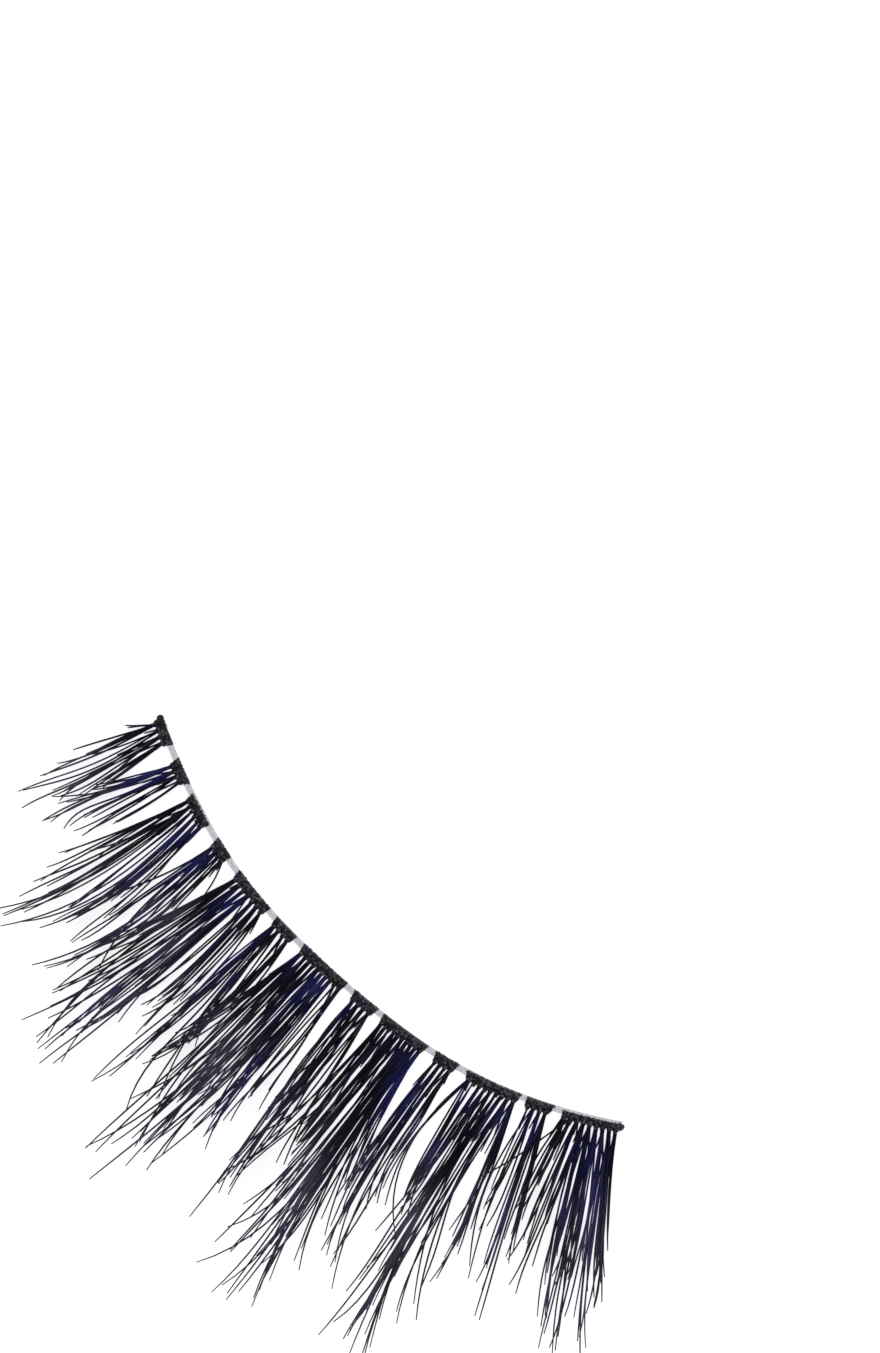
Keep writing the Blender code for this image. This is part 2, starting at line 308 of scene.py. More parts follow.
def leaned(station, inward, bar):
    """Stations in a bar, drawn together on the lash side as its ends lean in."""
    start, end, _, _, lean_start, lean_end = bar
    share = (station - start) / (end - start)
    leaning = lean_start * (1.0 - share) - lean_end * share
    return station + leaning * np.clip(inward / BAR_DEPTH, 0.0, 1.0)


def winding(start, end, knots, bare, draws):
    """One thread wound round the band from knot to knot, fuller in the middle of each knot."""
    turns = knots * TURNS
    share = np.linspace(0.0, 1.0, turns * TURN_RINGS + 1)
    turn = share * turns
    loose = np.interp(turn, np.arange(turns + 1), draws.normal(0.0, TURN_LOOSE, turns + 1))
    drift = np.interp(turn, np.arange(turns + 1), draws.normal(0.0, TURN_DRIFT, turns + 1))
    knot = np.cos(2.0 * np.pi * (share * knots - 0.5))
    swell = KNOT_SWELL * knot + loose
    half_depth = (BAR_DEPTH - bare) / 2.0 - THREAD / 2.0 + swell
    half_height = BAR_HEIGHT / 2.0 - THREAD / 2.0 + np.minimum(swell, SWELL_UP)
    station = start + THREAD / 2.0 + share * (end - start - THREAD) + drift
    return np.column_stack([
        station,
        (BAR_DEPTH + bare) / 2.0 - half_depth * np.cos(2.0 * np.pi * turn),
        BAR_HEIGHT / 2.0 + half_height * np.sin(2.0 * np.pi * turn),
    ])


def crossings(start, end, knots, bare, draws):
    """The strands that cross over each knot's turns, from the eyelid side to the lashes."""
    pitch = (end - start) / knots
    share = np.linspace(0.0, 1.0, STRAND_RINGS)
    routes = []
    for knot in range(knots):
        centre = start + (knot + 0.5) * pitch
        for side in (-1.0, 1.0):
            lean = side * pitch * draws.uniform(*STRAND_LEAN)
            routes.append(np.column_stack([
                centre + draws.normal(0.0, STRAND_STRAY) + lean * (share - 0.5),
                (BAR_DEPTH + bare) / 2.0 - (BAR_DEPTH - bare - THREAD) / 2.0 * np.cos(np.pi * share),
                BAR_HEIGHT / 2.0 + (BAR_HEIGHT / 2.0 - THREAD * STRAND_SUNK) * np.sin(np.pi * share),
            ]))
    return np.stack(routes)


def knot_tails(start, end, knots, draws):
    """Routes and half widths of the drop-shaped lower ends of the knots, which grip the hairs."""
    pitch = (end - start) / knots
    share = np.linspace(0.0, 1.0, TAIL_RINGS)
    centres = start + (np.arange(knots) + 0.5) * pitch + draws.normal(0.0, TAIL_STRAY, knots)
    routes = np.stack([
        np.column_stack([
            np.full(share.shape, centre),
            BAR_DEPTH * TAIL_FROM + (BAR_DEPTH * (1.0 - TAIL_FROM) + KNOT_TAIL) * share,
            BAR_HEIGHT / 2.0 - TAIL_DROP * share,
        ])
        for centre in centres
    ])
    widths = np.interp(share, TAIL_SHARES, (TAIL_TOP, pitch * 0.50, TAIL_WAIST, TAIL_END))
    return routes, np.tile(widths, (knots, 1))


def bar_core(start, end, bare):
    """Set glue and thread inside a bar, which fills what shows between the turns."""
    inset = THREAD * CORE_INSET
    stations = np.linspace(start + inset, end - inset, CORE_RINGS)
    width = min(BAR_DEPTH - bare, BAR_HEIGHT) / 2.0 - inset
    routes = [
        np.column_stack([stations, np.full(CORE_RINGS, middle), np.full(CORE_RINGS, BAR_HEIGHT / 2.0)])
        for middle in (bare + BAR_HEIGHT / 2.0, BAR_DEPTH - BAR_HEIGHT / 2.0)
    ]
    return np.stack(routes), np.full((2, CORE_RINGS), width)


def knot_thread():
    """Polyester tying thread soaked in dark glue: charcoal black with a lacquered, finely broken gloss, and
    glints painted into its colour as light grey flecks.
    """
    material, shader = named_material("glued_black_thread")
    place = add_node(material, "ShaderNodeTexCoord")
    fibres = add_node(
        material, "ShaderNodeTexNoise", None,
        {"Scale": THREAD_FIBRES / MM, "Detail": 4.0}, {"Vector": (place, "Object")},
    )
    blots = add_node(
        material, "ShaderNodeTexNoise", None,
        {"Scale": THREAD_BLOTS / MM, "Detail": 2.0}, {"Vector": (place, "Object")},
    )
    dyed = add_node(
        material, "ShaderNodeMapRange", None,
        {"From Min": 0.50, "From Max": 0.68}, {"Value": (blots, "Fac")},
    )
    black = add_node(
        material, "ShaderNodeMix", {"data_type": "RGBA"},
        {"A": linear(THREAD_BLACK), "B": linear(THREAD_INDIGO)}, {"Factor": (dyed, "Result")},
    )
    # Painted glints: light grey flecks mixed into the thread's colour stand for highlights of the softboxes.
    painted_glint_noise = add_node(
        material, "ShaderNodeTexNoise", None,
        {"Scale": THREAD_GLINTS / MM, "Detail": 2.0}, {"Vector": (place, "Object")},
    )
    glints = add_node(
        material, "ShaderNodeMapRange", None,
        {"From Min": 0.50, "From Max": 0.66, "To Max": 0.9}, {"Value": (painted_glint_noise, "Fac")},
    )
    colour = add_node(
        material, "ShaderNodeMix", {"data_type": "RGBA"},
        {"B": linear(THREAD_GLINT)}, {"Factor": (glints, "Result"), "A": (black, "Result")},
    )
    gloss = add_node(
        material, "ShaderNodeMapRange", None, {"To Min": 0.28, "To Max": 0.62}, {"Value": (fibres, "Fac")}
    )
    relief = add_node(
        material, "ShaderNodeBump", None,
        {"Strength": 0.6, "Distance": FIBRE_RELIEF * MM}, {"Height": (fibres, "Fac")},
    )
    links = material.node_tree.links
    links.new(colour.outputs["Result"], shader.inputs["Base Color"])
    links.new(gloss.outputs["Result"], shader.inputs["Roughness"])
    links.new(relief.outputs["Normal"], shader.inputs["Normal"])
    shader.inputs["Specular IOR Level"].default_value = 0.4
    return material


def stopper_knot(station, bare):
    """The last knot of the thread, a small bead that stands out at an end of the strip."""
    share = np.linspace(0.0, 1.0, STOPPER_RINGS)
    route = np.column_stack([
        np.full(share.shape, station),
        bare + STOPPER_FROM + STOPPER_LENGTH * share,
        np.full(share.shape, BAR_HEIGHT / 2.0),
    ])
    widths = STOPPER_RADIUS * np.sqrt(np.maximum(1.0 - (2.0 * share - 1.0) ** 2, STOPPER_BLUNT))
    return route[None], widths[None]


def knotted_bar(number, bar, material):
    """One bar: its wound thread, the strands across it, the knots' lower ends, the core, and any stopper."""
    draws = np.random.default_rng(KNOT_SEED + number)
    start, end, knots, bare = bar[:4]
    wound = winding(start, end, knots, bare, draws)[None]
    across = crossings(start, end, knots, bare, draws)
    tails, tail_widths = knot_tails(start, end, knots, draws)
    core, core_widths = bar_core(start, end, bare)
    strands = [
        (wound, np.full(wound.shape[:2], THREAD / 2.0), THREAD_SIDES),
        (across, np.full(across.shape[:2], THREAD * STRAND), STRAND_SIDES),
        (tails, tail_widths, TAIL_SIDES),
        (core, core_widths, CORE_SIDES),
    ]
    for end_bar, station in STOPPERS:
        if end_bar == number:
            strands.append((*stopper_knot(station, bare), STOPPER_SIDES))
    points, faces = [], []
    for routes, widths, sides in strands:
        flat = routes.reshape(-1, 3)
        flat[:, 0] = leaned(flat[:, 0], flat[:, 1], bar)
        placed = laid_on_edge(flat).reshape(routes.shape)
        new_points, new_faces = tubes(placed, widths * MM, sides)
        begun = sum(len(part) for part in points)
        faces += [tuple(corner + begun for corner in face) for face in new_faces]
        points.append(new_points)
    return joined_piece(f"knots_{number:02d}", np.concatenate(points), faces, material)


thread_finish = knot_thread()
for number, bar in enumerate(BARS, start=1):
    knots_of_bar = knotted_bar(number, bar, thread_finish)
    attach(knots_of_bar, "root")
    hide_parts(f"knot_bar_{number:02d}")


# Lashes
# Tapered synthetic hairs, heat-set to an upward curl. Each knot holds a bundle, and the hairs of neighbouring
# knots cross and meet in wispy points that are pinched by hand. Most are black, some deep indigo. Plum
# patches are partly painted sheen, and the paler tips are painted light shining through their thinning ends.

LOCKS = (
    # a table for each cluster; a row: X of its knot, X and Y of its tip, sideways bow, and number of hairs
    (
        (-15.95, -16.70, -1.65, 0.00, 2),
        (-15.95, -18.05, -4.35, 0.10, 1),
        (-15.90, -17.40, -4.05, 0.05, 3),
        (-15.85, -18.05, -5.40, 0.10, 1),
        (-15.75, -18.20, -6.45, 0.10, 2),
        (-15.50, -18.60, -7.80, 0.25, 2),
        (-15.40, -17.90, -8.30, 0.20, 1),
        (-15.15, -17.35, -6.85, 0.10, 3),
        (-15.10, -16.80, -6.50, 0.10, 2),
        (-14.90, -16.30, -5.90, 0.05, 2),
        (-14.80, -15.90, -4.50, 0.00, 2),
        (-14.75, -15.65, -4.75, 0.10, 2),
    ),
    (
        (-13.75, -15.90, -4.90, 0.00, 1),
        (-13.75, -15.60, -5.25, -0.05, 3),
        (-13.70, -16.80, -6.90, 0.25, 3),
        (-13.65, -16.50, -8.10, -0.25, 3),
        (-13.50, -16.00, -7.65, -0.05, 2),
        (-13.40, -15.25, -6.55, -0.10, 3),
        (-13.20, -15.15, -7.40, 0.00, 2),
        (-13.10, -14.60, -6.85, 0.05, 1),
        (-12.95, -14.10, -5.80, 0.10, 3),
    ),
    (
        (-11.95, -14.90, -8.75, -0.05, 2),
        (-11.90, -13.85, -7.85, 0.00, 3),
        (-11.90, -15.00, -9.70, 0.05, 1),
        (-11.85, -14.80, -10.70, 0.10, 2),
        (-11.80, -14.90, -11.75, 0.20, 1),
        (-11.70, -15.20, -13.60, 0.45, 3),
        (-11.60, -14.70, -12.80, 0.30, 3),
        (-11.60, -13.95, -10.60, 0.15, 2),
        (-11.45, -12.90, -10.50, 0.20, 2),
        (-11.35, -14.80, -13.50, 0.85, 1),
        (-11.20, -13.45, -12.60, 0.75, 2),
        (-11.15, -12.60, -11.70, 0.35, 3),
        (-11.10, -12.25, -10.80, 0.15, 2),
        (-11.05, -12.10, -9.90, 0.10, 3),
        (-10.80, -12.40, -11.00, 0.50, 1),
        (-10.75, -11.50, -8.80, 0.15, 2),
        (-10.50, -11.70, -11.70, 0.35, 1),
        (-10.45, -11.05, -9.70, 0.10, 2),
        (-10.45, -10.75, -7.00, 0.05, 1),
    ),
    (
        (-9.50, -12.10, -9.30, 0.30, 1),
        (-9.50, -10.85, -9.60, -0.10, 2),
        (-9.45, -11.65, -11.70, 0.20, 1),
        (-9.45, -9.90, -11.85, -0.35, 1),
        (-9.45, -12.10, -13.90, 0.80, 3),
        (-9.40, -11.40, -11.30, 0.25, 1),
        (-9.35, -10.05, -8.95, -0.05, 1),
        (-9.10, -10.70, -12.10, 0.35, 2),
        (-9.05, -11.20, -12.80, 0.70, 2),
        (-9.05, -9.65, -9.80, 0.10, 2),
        (-8.90, -10.10, -10.90, 0.35, 1),
        (-8.70, -9.90, -11.85, 0.40, 1),
        (-8.60, -9.40, -9.00, 0.10, 1),
        (-8.60, -8.75, -7.20, 0.05, 2),
        (-8.50, -8.00, -5.40, 0.00, 1),
    ),
    (
        (-7.45, -9.50, -9.60, 0.05, 4),
        (-7.35, -9.10, -8.75, 0.00, 3),
        (-7.35, -9.80, -11.00, 0.20, 1),
        (-7.30, -10.40, -14.30, 0.25, 3),
        (-7.25, -10.25, -14.85, 0.20, 2),
        (-7.30, -9.30, -16.70, -0.70, 2),
        (-7.10, -10.90, -16.35, 0.65, 1),
        (-7.00, -9.20, -12.60, 0.15, 2),
        (-6.95, -9.70, -16.50, 0.20, 1),
        (-6.90, -9.10, -16.90, 0.15, 2),
        (-6.90, -8.85, -15.60, 0.10, 2),
        (-6.80, -8.50, -14.80, 0.05, 2),
        (-6.70, -9.45, -15.40, 0.30, 1),
        (-6.70, -8.35, -13.30, -0.10, 2),
        (-6.50, -8.35, -16.60, -0.45, 1),
        (-6.45, -8.10, -17.40, -0.20, 2),
        (-6.45, -7.50, -13.60, -0.08, 3),
        (-6.35, -7.90, -14.30, 0.00, 2),
        (-6.30, -7.35, -11.20, -0.15, 3),
        (-6.10, -8.40, -14.90, 0.45, 1),
        (-6.00, -7.15, -11.90, 0.15, 1),
        (-5.95, -6.45, -11.70, 0.25, 3),
        (-5.85, -6.20, -11.00, 0.15, 2),
        (-5.70, -6.00, -13.00, 0.00, 1),
        (-5.65, -5.95, -12.40, 0.15, 2),
        (-5.35, -5.45, -10.60, 0.10, 2),
        (-5.30, -5.15, -8.50, 0.15, 2),
    ),
    (
        (-4.65, -6.00, -16.30, 0.10, 2),
        (-4.60, -5.90, -15.50, 0.10, 1),
        (-4.60, -5.30, -14.20, -0.15, 3),
        (-4.60, -5.25, -11.80, -0.12, 3),
        (-4.45, -5.05, -11.10, 0.05, 3),
        (-4.20, -4.25, -11.60, 0.10, 3),
        (-4.20, -4.00, -16.20, -0.15, 1),
        (-4.10, -3.20, -15.00, -0.35, 2),
        (-4.10, -3.60, -11.60, -0.17, 2),
        (-4.05, -3.75, -10.90, -0.15, 2),
        (-3.40, -4.75, -13.30, 0.60, 2),
        (-3.35, -4.65, -13.90, 0.50, 2),
        (-3.30, -4.30, -12.00, 0.38, 2),
        (-3.25, -3.65, -11.60, 0.10, 2),
        (-3.25, -3.35, -9.00, 0.00, 2),
    ),
    (
        (-2.50, -4.80, -13.30, 0.30, 2),
        (-2.50, -4.30, -12.00, 0.25, 2),
        (-2.45, -3.90, -10.80, 0.10, 2),
        (-2.45, -3.40, -19.05, -0.15, 2),
        (-2.40, -2.95, -13.50, -0.25, 2),
        (-2.30, -2.80, -14.80, -0.22, 2),
        (-2.10, -2.20, -14.50, -0.10, 3),
        (-2.00, -2.90, -18.00, 0.15, 1),
        (-1.95, -2.35, -17.30, 0.00, 3),
        (-1.90, -3.45, -15.60, 0.50, 1),
        (-1.90, -2.00, -13.90, 0.00, 2),
        (-1.80, -2.40, -17.10, 0.15, 2),
        (-1.70, -1.45, -15.95, -0.20, 2),
        (-1.60, -3.70, -18.95, 0.60, 1),
        (-1.60, -1.85, -14.20, 0.00, 2),
        (-1.50, -3.20, -20.10, 0.60, 1),
        (-1.30, -1.90, -15.20, 0.10, 2),
        (-1.25, -1.35, -13.20, 0.00, 2),
        (-1.20, -2.15, -18.35, 0.20, 2),
        (-1.00, -2.15, -17.10, 0.45, 2),
        (-0.95, -1.05, -12.80, 0.00, 2),
        (-0.90, -0.65, -16.70, -0.30, 1),
        (-0.70, -1.30, -13.50, 0.10, 2),
        (-0.60, -1.15, -17.80, -0.15, 2),
        (-0.60, 0.40, -15.00, -0.30, 3),
        (-0.60, -0.05, -13.90, -0.17, 3),
        (-0.55, -0.30, -14.60, -0.05, 3),
        (-0.50, 0.10, -13.40, -0.25, 2),
        (-0.30, -0.40, -11.20, -0.10, 2),
        (0.05, 1.20, -10.60, 0.00, 1),
        (0.15, 1.40, -11.65, -0.07, 1),
        (0.25, 0.45, -13.30, -0.05, 2),
        (0.35, 0.60, -11.60, 0.05, 3),
    ),
    (
        (1.05, 1.55, -8.60, -0.30, 1),
        (1.10, 2.00, -14.10, -0.10, 2),
        (1.20, 2.25, -18.10, 0.00, 1),
        (1.30, 2.45, -16.20, -0.20, 3),
        (1.35, 1.90, -10.80, -0.25, 2),
        (1.45, 1.80, -11.80, 0.05, 2),
        (1.50, 3.05, -15.95, -0.35, 2),
        (1.60, 2.50, -15.60, -0.05, 2),
        (1.70, 2.05, -11.80, 0.00, 2),
        (1.80, 2.35, -14.60, 0.05, 2),
        (1.90, 2.20, -13.80, 0.10, 2),
        (2.20, 1.65, -11.30, 0.00, 2),
        (2.40, 2.90, -11.70, 0.10, 1),
        (2.40, 3.10, -10.50, 0.05, 1),
        (2.40, 3.75, -13.10, -0.15, 2),
    ),
    (
        (3.00, 2.45, -13.30, 0.30, 2),
        (3.05, 2.40, -15.20, 0.35, 2),
        (3.05, 3.50, -10.80, -0.05, 3),
        (3.35, 3.70, -9.60, 0.00, 2),
        (3.30, 3.95, -12.00, -0.10, 3),
        (3.50, 3.90, -11.20, -0.05, 2),
        (3.70, 4.45, -16.00, 0.20, 2),
        (3.85, 4.40, -18.20, 0.30, 1),
        (3.75, 4.10, -11.60, -0.10, 3),
        (3.90, 4.30, -12.80, 0.00, 3),
        (4.05, 4.50, -13.80, 0.15, 2),
        (4.20, 4.60, -13.20, 0.10, 1),
        (4.30, 4.75, -19.60, 0.85, 1),
        (4.35, 4.80, -14.20, 0.10, 2),
        (4.40, 4.80, -17.95, 0.15, 1),
        (4.50, 5.20, -18.05, 0.05, 2),
        (4.60, 5.00, -17.20, 0.15, 1),
        (4.45, 5.95, -20.20, 0.45, 1),
        (4.65, 6.35, -20.00, 0.35, 2),
        (4.80, 5.30, -14.20, -0.05, 1),
        (4.90, 6.65, -19.60, 0.15, 2),
        (4.95, 5.60, -14.80, 0.05, 2),
        (5.00, 7.15, -19.00, -0.25, 1),
        (5.00, 7.35, -19.40, -0.35, 1),
        (5.00, 5.80, -15.60, 0.10, 2),
        (5.10, 7.40, -18.50, -0.55, 2),
        (5.10, 6.40, -17.30, -0.15, 2),
        (5.15, 6.30, -15.60, -0.10, 1),
        (5.20, 7.40, -17.80, -0.35, 2),
        (5.20, 7.10, -17.40, -0.25, 1),
        (5.25, 6.60, -16.40, -0.25, 1),
        (5.50, 7.20, -11.80, -0.20, 3),
        (5.55, 7.50, -11.60, -0.40, 2),
        (5.55, 8.15, -16.40, -0.80, 2),
        (5.60, 7.90, -15.50, -0.65, 1),
        (5.60, 8.20, -14.20, -0.65, 2),
        (5.60, 7.70, -13.70, -0.55, 1),
    ),
    (
        (6.35, 7.70, -12.60, -0.15, 2),
        (6.50, 7.15, -10.80, -0.08, 3),
        (6.60, 7.25, -11.80, -0.10, 2),
        (6.60, 8.25, -14.90, -0.05, 2),
        (6.65, 8.05, -13.30, -0.10, 1),
        (6.70, 8.45, -14.90, -0.05, 1),
        (6.90, 9.75, -16.00, -0.60, 1),
        (6.90, 8.70, -11.80, -0.35, 2),
        (6.95, 8.10, -12.60, -0.10, 1),
        (7.20, 9.25, -15.20, -0.45, 2),
        (7.30, 8.90, -11.20, -0.20, 2),
        (7.35, 9.55, -14.60, -0.25, 1),
        (7.35, 8.10, -9.00, 0.00, 2),
    ),
    (
        (8.20, 8.85, -11.00, -0.45, 2),
        (8.20, 10.45, -11.85, -1.10, 1),
        (8.40, 9.75, -10.20, -0.10, 3),
        (8.70, 10.25, -10.80, -0.20, 3),
        (8.90, 9.90, -9.40, -0.05, 3),
        (8.90, 10.95, -15.60, 0.00, 1),
        (9.20, 10.10, -10.60, 0.00, 1),
        (9.20, 9.90, -12.30, 0.10, 1),
        (9.20, 11.00, -14.00, 0.10, 2),
        (9.30, 11.25, -14.70, 0.10, 1),
        (9.50, 11.60, -14.60, 0.00, 2),
        (9.50, 11.65, -18.20, 0.35, 1),
        (9.50, 10.90, -12.50, 0.20, 1),
        (9.60, 12.05, -17.20, 0.20, 2),
        (9.70, 11.20, -12.20, 0.15, 2),
        (9.80, 12.35, -17.25, -0.15, 2),
        (9.85, 12.95, -17.95, -0.45, 2),
        (9.85, 11.80, -13.40, -0.15, 1),
        (10.10, 12.10, -15.60, -0.30, 2),
        (10.10, 13.20, -16.60, -0.50, 2),
        (10.15, 13.90, -17.45, -0.60, 2),
        (10.40, 13.40, -17.50, -0.30, 1),
        (10.40, 14.40, -14.30, -0.90, 2),
        (10.40, 13.75, -15.10, -0.55, 2),
        (10.45, 12.10, -11.20, 0.00, 1),
        (10.50, 13.40, -13.00, -0.30, 1),
        (10.60, 13.00, -10.20, 0.15, 3),
        (10.70, 13.65, -12.40, 0.15, 2),
        (10.75, 13.50, -11.30, 0.10, 2),
        (10.75, 13.65, -10.40, -0.10, 2),
        (10.70, 13.20, -9.20, -0.12, 3),
    ),
    (
        (11.40, 12.80, -6.80, -0.05, 1),
        (11.55, 13.20, -7.80, 0.05, 2),
        (11.70, 13.80, -8.75, 0.05, 2),
        (11.75, 15.20, -10.95, -0.45, 2),
        (12.10, 15.20, -9.95, 0.10, 4),
        (12.10, 15.90, -10.90, -0.10, 2),
        (12.10, 16.40, -12.15, -0.20, 1),
        (12.15, 14.60, -8.50, 0.05, 3),
        (12.40, 15.30, -7.80, 0.00, 1),
        (12.45, 16.90, -12.15, -0.25, 1),
        (12.45, 15.65, -9.00, 0.00, 2),
        (12.45, 15.60, -8.40, 0.05, 2),
    ),
    (
        (13.15, 14.10, -6.30, -0.10, 2),
        (13.15, 13.90, -3.60, 0.00, 2),
        (13.20, 14.40, -5.60, -0.10, 2),
        (13.60, 12.15, -6.60, 0.10, 1),
        (13.40, 14.60, -5.20, 0.00, 3),
        (13.90, 15.10, -4.80, 0.00, 3),
        (14.10, 16.00, -6.20, 0.00, 3),
        (13.50, 14.95, -7.00, 0.00, 2),
        (13.60, 15.05, -6.90, -0.15, 1),
        (13.90, 15.85, -7.80, -0.10, 3),
        (13.90, 16.15, -8.90, -0.05, 1),
        (13.90, 16.40, -8.10, 0.00, 1),
        (13.90, 17.15, -9.80, -0.10, 1),
        (14.20, 17.20, -9.90, 0.10, 1),
        (14.20, 17.30, -8.30, 0.00, 1),
        (14.10, 18.40, -8.70, 0.00, 4),
        (14.20, 19.40, -10.30, 0.00, 4),
        (14.25, 18.60, -8.40, 0.05, 3),
        (14.30, 20.10, -11.20, -0.05, 2),
        (14.30, 17.60, -7.20, 0.00, 2),
        (14.55, 19.90, -10.10, 0.00, 1),
        (14.60, 20.80, -11.00, -0.05, 2),
        (14.65, 17.30, -5.40, 0.00, 4),
        (14.75, 19.00, -7.60, 0.00, 4),
        (14.80, 21.00, -10.80, 0.00, 1),
        (15.00, 20.10, -9.10, 0.00, 2),
        (15.00, 18.60, -6.40, 0.00, 3),
        (15.10, 21.80, -10.40, 0.00, 2),
        (15.15, 21.40, -9.60, 0.00, 2),
        (15.20, 20.60, -8.40, 0.00, 3),
        (15.20, 20.85, -7.80, -0.10, 2),
        (15.30, 19.40, -6.20, -0.05, 3),
        (15.30, 20.10, -7.70, -0.05, 2),
        (15.35, 20.10, -6.60, -0.15, 3),
        (15.35, 20.90, -7.30, -0.15, 1),
        (15.60, 19.55, -5.80, -0.20, 2),
        (15.60, 19.40, -5.15, -0.25, 1),
        (15.60, 19.15, -4.60, -0.30, 1),
    ),
)
STREAKS = (
    # X and Y of the middle of a streak, its half width, its half length, its indigo dye, and its plum tint
    # with painted sheen
    (-17.2, -5.6, 1.20, 1.5, 0.0, 0.7),
    (-15.4, -6.6, 0.80, 1.2, 0.0, 0.8),
    (-14.3, -3.2, 0.35, 1.8, 0.9, 0.0),
    (-13.6, -9.6, 0.60, 3.0, 0.0, 0.5),
    (-11.05, -4.3, 0.28, 1.5, 0.9, 0.0),
    (-11.4, -6.9, 0.40, 0.9, 0.8, 0.2),
    (-12.2, -9.3, 0.40, 1.3, 0.7, 0.4),
    (-11.0, -11.6, 0.40, 0.8, 0.5, 0.6),
    (-9.5, -4.9, 0.32, 1.5, 0.8, 0.0),
    (-9.8, -8.4, 0.50, 1.8, 0.5, 0.5),
    (-8.8, -7.6, 0.45, 1.1, 0.0, 1.0),
    (-6.75, -4.9, 0.50, 0.8, 0.8, 0.0),
    (-7.6, -8.8, 0.45, 1.5, 0.5, 0.8),
    (-8.4, -12.6, 0.45, 1.2, 0.8, 0.6),
    (-8.4, -14.4, 0.40, 0.8, 0.8, 0.2),
    (-7.5, -12.0, 0.35, 1.2, 0.4, 0.7),
    (-4.95, -7.2, 0.30, 1.8, 0.8, 0.0),
    (-5.2, -9.6, 0.25, 1.5, 0.5, 0.3),
    (-5.6, -14.0, 0.40, 1.4, 0.7, 0.7),
    (-4.2, -8.0, 0.30, 1.2, 0.5, 0.1),
    (-4.15, -10.7, 0.30, 0.7, 0.7, 0.2),
    (-3.4, -10.0, 0.30, 1.2, 0.2, 0.8),
    (-2.4, -4.7, 0.25, 0.6, 0.6, 0.0),
    (-0.95, -5.5, 0.42, 0.8, 0.8, 0.0),
    (-0.45, -4.8, 0.35, 0.4, 0.9, 0.0),
    (-1.3, -7.2, 0.30, 1.0, 0.4, 0.0),
    (-2.0, -11.3, 0.75, 2.2, 0.0, 1.0),
    (-1.2, -12.3, 0.35, 1.2, 0.4, 0.9),
    (-2.1, -16.5, 0.30, 0.7, 0.8, 0.4),
    (-0.45, -10.2, 0.28, 1.0, 0.9, 0.0),
    (-0.15, -12.3, 0.32, 1.5, 1.0, 0.1),
    (0.15, -14.2, 0.25, 1.0, 0.8, 0.2),
    (1.2, -5.0, 0.25, 0.6, 0.3, 0.0),
    (1.9, -11.2, 0.45, 1.5, 0.4, 0.5),
    (2.3, -14.4, 0.30, 0.9, 0.3, 0.7),
    (4.7, -4.9, 0.50, 0.5, 0.3, 0.0),
    (5.6, -5.8, 0.30, 1.2, 0.9, 0.0),
    (6.0, -7.6, 0.30, 1.0, 0.4, 0.0),
    (4.9, -12.6, 0.50, 1.6, 0.2, 0.9),
    (5.8, -13.2, 0.45, 1.6, 0.3, 0.9),
    (6.3, -15.3, 0.40, 1.0, 0.5, 0.5),
    (5.1, -16.0, 0.25, 0.9, 0.5, 0.1),
    (7.0, -10.5, 0.40, 0.8, 0.5, 0.7),
    (6.7, -6.2, 0.25, 0.8, 0.7, 0.0),
    (7.95, -7.6, 0.30, 0.9, 0.8, 0.3),
    (8.5, -9.8, 0.35, 1.0, 0.6, 0.6),
    (8.7, -4.3, 0.45, 0.5, 0.9, 0.0),
    (9.5, -7.5, 0.35, 0.9, 0.8, 0.2),
    (10.3, -4.3, 0.25, 0.7, 0.5, 0.0),
    (10.8, -3.8, 0.30, 0.8, 0.8, 0.0),
    (10.8, -10.8, 0.65, 1.8, 0.0, 1.0),
    (12.3, -8.3, 0.45, 1.4, 0.4, 0.7),
    (13.0, -10.2, 0.40, 1.4, 0.5, 0.7),
    (12.0, -15.4, 0.35, 1.2, 0.5, 0.7),
    (12.3, -3.2, 0.35, 0.8, 0.8, 0.0),
    (14.2, -7.4, 0.35, 0.9, 0.9, 0.1),
    (15.0, -8.8, 0.40, 0.9, 0.5, 0.6),
    (14.6, -2.5, 0.40, 0.8, 0.4, 0.0),
    (15.6, -2.0, 0.45, 1.0, 0.6, 0.0),
    (16.4, -5.2, 0.40, 1.4, 0.7, 0.2),
    (17.1, -3.9, 0.50, 1.6, 1.0, 0.2),
    (18.3, -5.5, 0.50, 1.3, 0.7, 0.6),
    (18.6, -8.8, 0.45, 1.4, 0.5, 0.7),
    (20.2, -8.0, 0.60, 1.2, 0.2, 0.9),
)
STREAK_LEAN = 30.0  # X at which a streak would lean outwards by a radian, as the hairs fan out
SHORT_HAIRS = 1  # short hairs that come out with each row's long ones
SHORT_REACH = (0.06, 0.28)  # their lengths, to that of their row
HAIR = 0.094  # diameter where a hair leaves its knot
HAIR_THICKNESS = (0.9, 1.08)  # how single hairs differ from it
HAIR_TAPER = 0.42  # share of the diameter lost at the tip
TAPER_LATE = 8  # power of the taper, which comes mostly over the last sixth
HAIR_RINGS = 15
HAIR_SIDES = 6
BUNDLE = 0.075  # half width of a knot's bundle where it comes out
ROOT_HIDDEN = 0.06  # length of a root inside its knot
ROOT_SCATTER = 0.08  # how far roots lie above and below the knot's middle
KNOT_STRAY = (-1.0, 0.0, 0.0, 0.0, 0.0, 1.0)  # one in three of a row's later hairs leaves a knot beside it
SPLAY = 0.19  # spread of the tips of hairs that share a row
SPLAY_DOWN = 0.15  # how much of it runs along the hairs
SHORTFALL = 0.015  # the least share by which a row's later hairs are shorter than its first
SHORTFALL_SPREAD = 0.038
BOW_LENGTH = 10.0
BOW_SPREAD = 0.10  # spread of the bow of a hair of BOW_LENGTH
BOW_PLACE = 0.62  # share of the length where a bowed hair turns
SWAY_LENGTH = 12.0
